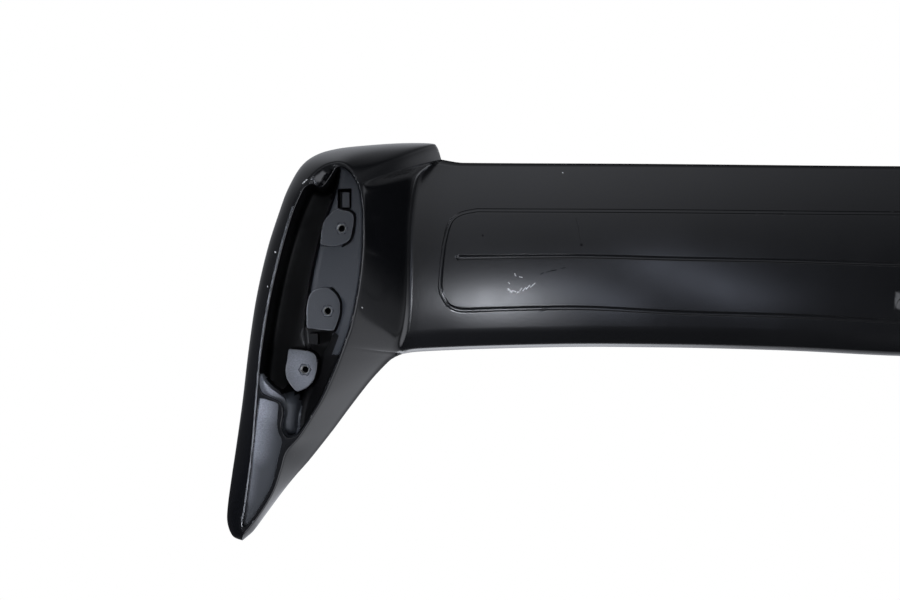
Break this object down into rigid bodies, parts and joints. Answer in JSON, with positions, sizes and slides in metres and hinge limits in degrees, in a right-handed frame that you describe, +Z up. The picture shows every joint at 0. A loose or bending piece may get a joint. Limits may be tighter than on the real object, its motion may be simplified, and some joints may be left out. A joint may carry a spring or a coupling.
{
  "type": "trunk spoiler",
  "caption": "Black pedestal trunk spoiler: a broad flat wing on two swept, pointed legs with moulded mounting pockets and threaded inserts in their feet.",
  "frame": {"origin": "centre of the spoiler's outline in plan, on the plane of both feet's lands", "axes": "+X across the car, along the wing; +Y towards the front of the car and the legs' tips; +Z up, from the trunk lid"},
  "size_m": [1.2976, 0.3288, 0.1015],
  "materials": {
    "black_paint": "satin black paint on moulded ABS, scuffed and scratched",
    "insert_metal": "dull zinc-plated steel"
  },
  "bodies": {
    "root": {"spoiler_body": "black_paint", "left_rear_insert": "insert_metal", "left_middle_insert": "insert_metal", "left_front_insert": "insert_metal", "right_rear_insert": "insert_metal", "right_middle_insert": "insert_metal", "right_front_insert": "insert_metal"}
  },
  "joints": []
}
